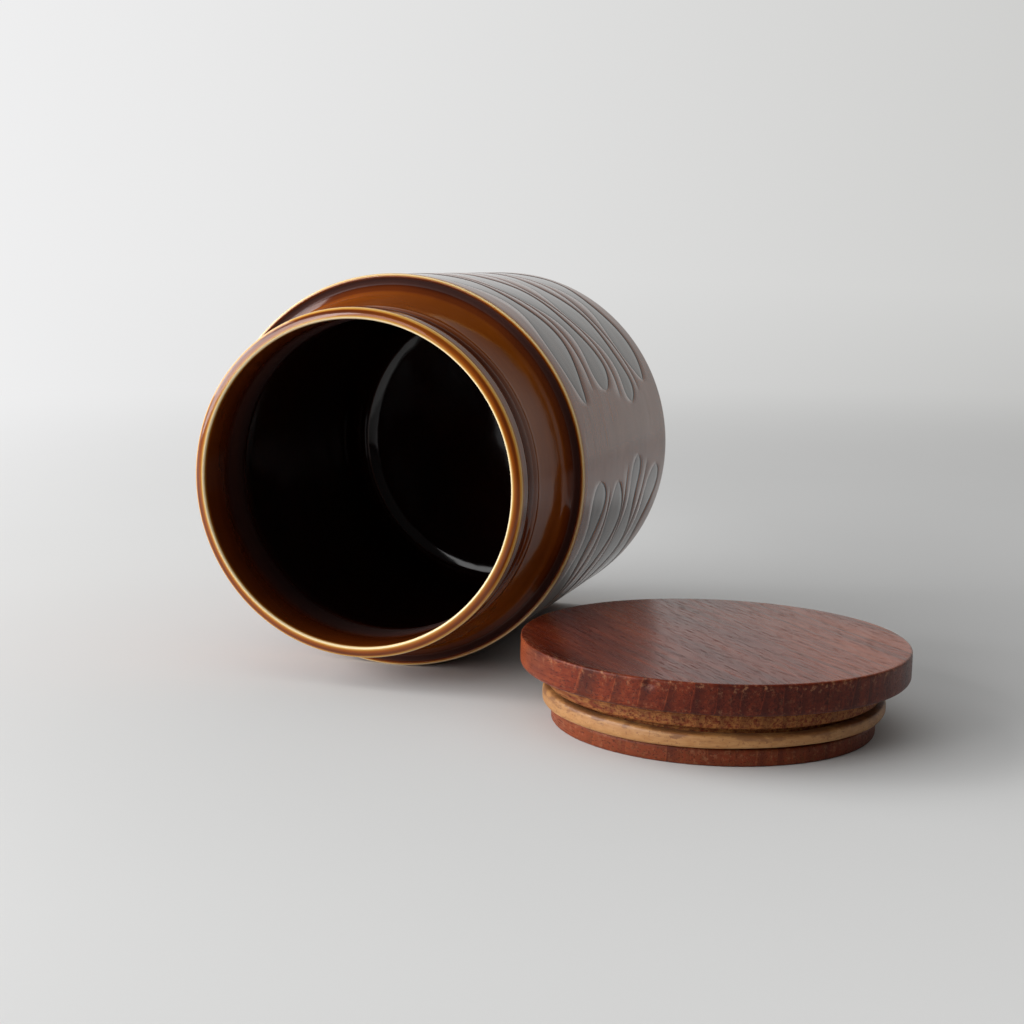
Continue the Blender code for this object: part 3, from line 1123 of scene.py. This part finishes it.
@dataclass
class Lid:
    """The turned lid: a disc with a plug under it, and the seal in the plug's groove."""

    columns: int = 480
    disc_radius: float = 48.8 * MM
    height: float = 21.5 * MM
    disc_foot: float = 14.0 * MM
    band_radius: float = 41.7 * MM
    groove_radius: float = 39.0 * MM
    groove_top: float = 9.2 * MM
    toe_radius: float = 40.7 * MM
    toe_height: float = 4.1 * MM
    top_edge: float = 0.55 * MM
    under_edge: float = 1.2 * MM
    toe_edge: float = 0.6 * MM
    toe_rim: float = 0.25 * MM
    shadow_line: float = 0.35 * MM
    dent_depth: float = 0.06 * MM
    dent_waves: tuple[tuple[int, float], ...] = ((23, 0.4), (41, 2.1), (67, 4.0), (97, 1.3))
    nick_degrees: float = -97.0
    nick_depth: float = 0.55 * MM
    nick_width: float = 1.3 * MM
    nick_drop: float = 1.3 * MM
    nick_height: float = 0.9 * MM
    toe_shade: float = 0.6
    seal: SealBand = SealBand()

    def place(self) -> Vector:
        """The middle of the lid's foot, from the CAD lid's box."""
        low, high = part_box("lid")
        return Vector(((low.x + high.x) / 2, (low.y + high.y) / 2, 0.0))

    def outline(self) -> np.ndarray:
        """The lid's outline from the middle of its top to the middle of its foot, with its wear.

        Returns:
            Rows of radius, height and wear, 1 on the edges that hands rub.
        """
        disc, band, toe = self.disc_radius, self.band_radius, self.toe_radius
        path = Outline(0.0, self.height, 0.0)
        path.to(disc - 3.0 * MM, self.height, 0.0, 14)
        path.to(disc - self.top_edge, self.height, 0.7, 4)
        path.to(disc, self.height - self.top_edge, (1.0, 0.9), 5, Bend.RADIUS_FIRST)
        path.to(disc, self.height - 2.4 * MM, 0.25, 4)
        path.to(disc, self.disc_foot + 2.4 * MM, 0.1, 4)
        path.to(disc, self.disc_foot + self.under_edge, 0.4, 3)
        path.to(disc - self.under_edge, self.disc_foot, 0.3, 5, Bend.HEIGHT_FIRST)
        path.to(band + 0.4 * MM, self.disc_foot, 0.0, 6)
        path.to(band - self.shadow_line, self.disc_foot - 0.2 * MM, 0.0, 2)
        path.to(band, self.disc_foot - 0.7 * MM, 0.0, 2)
        path.to(band, self.groove_top + 0.3 * MM, 0.3, 6)
        path.to(band - 0.3 * MM, self.groove_top, 0.4, 2)
        path.to(self.groove_radius, self.groove_top, 0.0, 3)
        path.to(self.groove_radius, self.toe_height, 0.0, 5)
        path.to(toe - self.toe_rim, self.toe_height, 0.2, 2)
        path.to(toe, self.toe_height - self.toe_rim, 0.5, 2)
        path.to(toe, self.toe_edge, 0.3, 5)
        path.to(toe - self.toe_edge, 0.0, 0.2, 4, Bend.HEIGHT_FIRST)
        path.to(0.0, 0.0, 0.0, 8)
        return path.stations()

    def worn_away(self, radius: np.ndarray, height: np.ndarray, wear: np.ndarray) -> np.ndarray:
        """Work out how far wear has moved each point in, never outwards.

        Worn rows have dents as deep as the mean of sin(n a + p) over a few waves n, p where that is
        above 0. One nick, exp(-w^2 - v^2) for the shares w and v of its width and height, sits on the
        front of the top edge.

        Args:
            radius: The points' radii, row by column.
            height: Their heights.
            wear: Their wear, from 0 to 1.

        Returns:
            How far each point moves in.
        """
        angle = angles(self.columns)
        dents = sum(np.sin(count * angle + phase) for count, phase in self.dent_waves) / len(self.dent_waves)
        dents = self.dent_depth * np.clip(dents, 0.0, 1.0)
        turned_by = np.mod(angle - math.radians(self.nick_degrees) + math.pi, 2 * math.pi) - math.pi
        nick = self.nick_depth * np.exp(-((turned_by * self.disc_radius / self.nick_width) ** 2))
        reach = np.exp(-(((height - (self.height - self.nick_drop)) / self.nick_height) ** 2))
        on_edge = (radius > self.disc_radius - 0.2 * MM).astype(float)
        return wear * dents + nick * reach * on_edge

    def surface(self) -> GridSurface:
        """Turn the outline about the lid's axis, with the small dents of wear along its edges.

        Returns:
            The lid's surface in the row's frame.
        """
        radius, height, wear = (np.repeat(row[:, None], self.columns, axis=1) for row in self.outline().T)
        radius = radius - self.worn_away(radius, height, wear)
        plug = soft_step(0.0, 1.0 * MM, self.disc_foot - 0.4 * MM - height)
        plug -= self.toe_shade * soft_step(0.0, 1.0 * MM, self.groove_top - 2.0 * MM - height)
        top = soft_step(self.height - 0.3 * MM, self.height - 0.05 * MM, height)
        points = upright(self.place(), radius, height)
        return GridSurface("turned_lid", points, {"wear": wear, "plug": plug, "top": top})

    def build(self, rubber: AmberSeal) -> list[bpy.types.Object]:
        """Make the lid and its seal, which stand for their CAD nodes.

        Args:
            rubber: The seal's finish.

        Returns:
            The lid and the seal.
        """
        wood = TurnedWood(centre=tuple(self.place()))
        lid = self.surface().to_object(wood.build())
        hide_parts("lid")
        ring = self.seal.surface(self.place()).to_object(rubber.build())
        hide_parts("seal_ring")
        for piece in (lid, ring):
            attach(piece, Body.LID.value)
        return [lid, ring]


@dataclass(frozen=True)
class Room:
    """The pale surroundings: brighter to the left, dimmer to the right, and dark in front and overhead."""

    seen_middle: float = 0.74
    seen_swing: float = 0.42
    seen_curve: float = 0.02
    seen_dim: float = 0.93
    lit_middle: float = 0.24
    lit_swing: float = 0.52
    lit_least: float = 0.02
    lit_way: Point = (-0.78, -0.06, 0.62)
    bright_way: tuple[float, float] = (-0.956, -0.292)
    front_way: tuple[float, float] = (0.574, -0.819)
    front_dark: tuple[float, float] = (0.22, 0.46)
    overhead_dark: tuple[float, float] = (0.22, 0.78)
    blue: tuple[float, float] = (0.994, 0.035)

    def towards(self, across: Wire, along: Wire) -> Wire:
        """The share of a level direction towards the bright side."""
        return across * self.bright_way[0] + along * self.bright_way[1]

    def tint(self, graph: Graph, across: Wire, along: Wire) -> Wire:
        """The surroundings' colour, a little bluer towards the bright side."""
        blue = self.towards(across, along) * self.blue[1] + self.blue[0]
        return graph.node("ShaderNodeCombineColor", None, {0: 1.0, 1: 1.0, 2: blue})

    def brightness(self, graph: Graph, across: Wire, along: Wire, up: Wire) -> Wire:
        """Work out the surroundings' brightness in a direction.

        The backdrop is m + s t + c t^2 for the direction's share t towards the bright side, and the camera
        and reflections see it. Matt surfaces get the weaker light of the room, m + s h for the share h
        towards its high left. Reflections find the room dark in front, where no backdrop stands, and
        overhead.

        Args:
            graph: The graph to work in.
            across: The direction's X.
            along: The direction's Y.
            up: The direction's Z.

        Returns:
            The brightness for the ray at hand.
        """
        camera = graph.node("ShaderNodeLightPath", None, None, "Is Camera Ray")
        glossy = Wire(graph, camera.source.node.outputs["Is Glossy Ray"])
        share = self.towards(across, along)
        front = across * self.front_way[0] + along * self.front_way[1]
        high = across * self.lit_way[0] + along * self.lit_way[1] + up * self.lit_way[2]
        lit = (high * self.lit_swing + self.lit_middle).math("MAXIMUM", self.lit_least)
        dark = front.step(*self.front_dark).math("MAXIMUM", up.step(*self.overhead_dark)) * self.seen_dim
        backdrop = (share * self.seen_curve + self.seen_swing) * share + self.seen_middle
        seen = backdrop * (1.0 - dark * glossy)
        return lit + (seen - lit) * camera.math("MAXIMUM", glossy)


@dataclass(frozen=True)
class Window:
    """A soft rectangular lamp: where it hangs, its width and height, and its power in watts."""

    name: str
    place: Point
    size: tuple[float, float]
    power: float

    def hang(self, target: Point) -> None:
        """Hang the lamp, unseen by the camera.

        Args:
            target: What it faces.
        """
        light = bpy.data.lights.new(self.name, "AREA")
        light.shape = "RECTANGLE"
        light.size, light.size_y = self.size
        light.energy = self.power
        lamp = bpy.data.objects.new(self.name, light)
        lamp.visible_camera = False
        bpy.context.scene.collection.objects.link(lamp)
        way = Vector(target) - Vector(self.place)
        turn = way.to_track_quat("-Z", "Y").to_matrix().to_4x4()
        lamp.matrix_world = Matrix.Translation(Vector(self.place)) @ turn


@dataclass(frozen=True)
class View:
    """Where the camera stands and looks, as fitted to the photograph, and how near and far it sees."""

    place: Point = (0.12594, -0.45492, 0.11526)
    level: tuple[float, float] = (-0.2962, 0.9551)
    down_degrees: float = 8.557
    roll_degrees: float = 1.232
    focal_pixels: float = 1699.89
    picture_pixels: float = 1024.0
    sensor_width: float = 36.0
    nearest: float = 0.01
    farthest: float = 50.0

    def build(self) -> None:
        """Set the camera from its place, its level heading, its tilt down and its roll."""
        down, roll = math.radians(self.down_degrees), math.radians(self.roll_degrees)
        level = Vector((*self.level, 0.0)).normalized()
        ahead = level * math.cos(down) - Vector((0.0, 0.0, math.sin(down)))
        right = Vector((level.y, -level.x, 0.0))
        above = right.cross(ahead)
        rolled_right = right * math.cos(roll) + above * math.sin(roll)
        rolled_above = above * math.cos(roll) - right * math.sin(roll)
        turn = Matrix((rolled_right, rolled_above, -ahead)).transposed()
        data = bpy.data.cameras.new("camera")
        data.sensor_width = self.sensor_width
        data.lens = self.focal_pixels / self.picture_pixels * self.sensor_width
        data.clip_start, data.clip_end = self.nearest, self.farthest
        camera = bpy.data.objects.new("camera", data)
        bpy.context.scene.collection.objects.link(camera)
        camera.matrix_world = Matrix.Translation(Vector(self.place)) @ turn.to_4x4()
        bpy.context.scene.camera = camera


@dataclass(frozen=True)
class PaleFloor:
    """The floor: pale with painted shade by the object, nearly as bright as the surroundings far away."""

    room: Room
    view: View
    reach: float = 9.0
    grey: float = 0.695
    cloud: float = 0.02
    yellow: float = 0.99
    # painted shade: the floor is darker near the object and lifts by this much farther off
    shade_lift: float = 0.04
    shade_lift_reach: tuple[float, float] = (0.11, 0.24)
    # painted shadow: the floor darkens towards the far right, where the jar and the lid cast their shadow
    right_shadow_way: tuple[float, float] = (0.8, 0.6)
    right_shadow_reach: tuple[float, float] = (0.03, 0.22)
    right_shadow_dim: float = 0.085
    table_end: tuple[float, float] = (0.17, 0.23)
    table_dim: float = 0.6
    shade_place: tuple[float, float] = (0.035, 0.165)
    shade_reach: tuple[float, float] = (0.02, 0.11)
    shade_dim: float = 0.38
    glow_reach: tuple[float, float] = (0.12, 1.1)
    glow_left: float = 0.5
    horizon: float = 0.0125
    fall_left: float = 3.2
    most_fall: float = 0.7
    least_off: float = 0.3

    def material(self) -> bpy.types.Material:
        """Make the floor's finish, which goes from a matt floor by the object over to one that glows.

        The near floor is grey, with painted shade: darker near the object than farther off, and darker to
        the far right in a painted shadow of the jar and the lid. The far floor glows as the surroundings do,
        less the share (h / d - horizon)(1 - f t) for the height h of the photograph's eye, the distance d
        from it and the direction's share t towards the bright side.
        Reflections find the floor dim in front of the picture's foot, where the table ends, and a little
        dimmer behind the jar's right side.

        Returns:
            The material.
        """
        material, graph = new_material("PaleFloor")
        place = graph.place()
        across, along, _ = graph.parts(place)
        glossy = graph.node("ShaderNodeLightPath", None, None, "Is Glossy Ray")
        front = across * -self.view.level[0] - along * self.view.level[1]
        off_shade = length(across - self.shade_place[0], along - self.shade_place[1])
        shaded = 1.0 - off_shade.step(*self.shade_reach)
        kept = 1.0 - front.step(*self.table_end) * glossy * self.table_dim
        kept = kept * (1.0 - shaded * glossy * self.shade_dim)

        away = length(across, along)
        # painted shadow of the jar and the lid on the floor to the far right
        right = (across * self.right_shadow_way[0] + along * self.right_shadow_way[1]).step(*self.right_shadow_reach)
        grey = (graph.noise(place, 9.0, 3.0) - 0.5) * self.cloud + self.grey
        # painted shade near the object, and a painted shadow of the jar and the lid to the far right
        grey = (grey + away.step(*self.shade_lift_reach) * self.shade_lift - right * self.right_shadow_dim) * kept
        plain = graph.node("ShaderNodeCombineColor", None, {0: grey, 1: grey, 2: grey * self.yellow})
        near = graph.node("ShaderNodeBsdfDiffuse", None, {"Color": plain})

        aside, ahead = across - self.view.place[0], along - self.view.place[1]
        off = length(aside, ahead).math("MAXIMUM", self.least_off)
        aside, ahead = aside / off, ahead / off
        left = self.room.towards(aside, ahead)
        shine = self.room.brightness(graph, aside, ahead, Wire(graph, 0.0))
        down = (Wire(graph, self.view.place[2]) / off - self.horizon).math("MAXIMUM", 0.0)
        fall = ((1.0 - left * self.fall_left) * down).math("MINIMUM", self.most_fall)
        glow = {"Color": self.room.tint(graph, aside, ahead), "Strength": shine * (1.0 - fall) * kept}
        far = graph.node("ShaderNodeEmission", None, glow)
        share = (away + left * self.glow_left).step(*self.glow_reach)
        graph.surface(graph.node("ShaderNodeMixShader", None, {0: share, 1: near, 2: far}))
        return material

    def build(self) -> bpy.types.Object:
        """Lay the floor.

        Returns:
            The floor.
        """
        signs = ((-1.0, -1.0), (1.0, -1.0), (1.0, 1.0), (-1.0, 1.0))
        corners = [(across * self.reach, along * self.reach, 0.0) for across, along in signs]
        mesh = bpy.data.meshes.new("floor")
        mesh.from_pydata(corners, [], [(0, 1, 2, 3)])
        mesh.materials.append(self.material())
        floor = bpy.data.objects.new("floor", mesh)
        bpy.context.scene.collection.objects.link(floor)
        return floor


@dataclass
class Studio:
    """The floor, the surroundings, the lamps and the camera."""

    room: Room = Room()
    view: View = View()
    middle: Point = (0.0, 0.0, 0.05)
    windows: tuple[Window, ...] = (
        Window("front_window", (-1.06, -0.86, 0.42), (1.3, 0.7), 17.4),
        Window("left_window", (-1.30, -0.10, 0.70), (0.9, 0.8), 9.0),
        Window("small_window", (-0.50, -1.25, 0.50), (0.5, 0.45), 2.2),
    )

    def world(self) -> None:
        """Make the surroundings' light."""
        world = bpy.data.worlds.new("Surroundings")
        bpy.context.scene.world = world
        world.use_nodes = True
        graph = Graph(world.node_tree)
        across, along, up = graph.parts(graph.node("ShaderNodeTexCoord", None, None, "Generated"))
        strength = self.room.brightness(graph, across, along, up)
        tint = self.room.tint(graph, across, along)
        shade = graph.node("ShaderNodeBackground", None, {"Color": tint, "Strength": strength})
        graph.node("ShaderNodeOutputWorld", None, {"Surface": shade})

    def build(self) -> None:
        """Set up everything round the object."""
        self.world()
        PaleFloor(self.room, self.view).build()
        for window in self.windows:
            window.hang(self.middle)
        self.view.build()
        bpy.context.scene.view_settings.view_transform = "Standard"


def report(pieces: list[bpy.types.Object]) -> None:
    """Log how many triangles each piece has.

    Args:
        pieces: The finished pieces.
    """
    for piece in pieces:
        polygons = piece.data.polygons
        corners = np.zeros(len(polygons), dtype=np.int32)
        polygons.foreach_get("loop_total", corners)
        log.info("%s: %d triangles", piece.name, int((corners - 2).sum()))


def main() -> None:
    """Build the studio, the jar and the lid, in that order, and report each piece."""
    logging.basicConfig(level=logging.INFO, format="%(name)s: %(message)s")
    Studio().build()
    pieces = Jar().build(TreacleGlaze())
    pieces += Lid().build(AmberSeal())
    report(pieces)


if __name__ == "__main__":
    main()
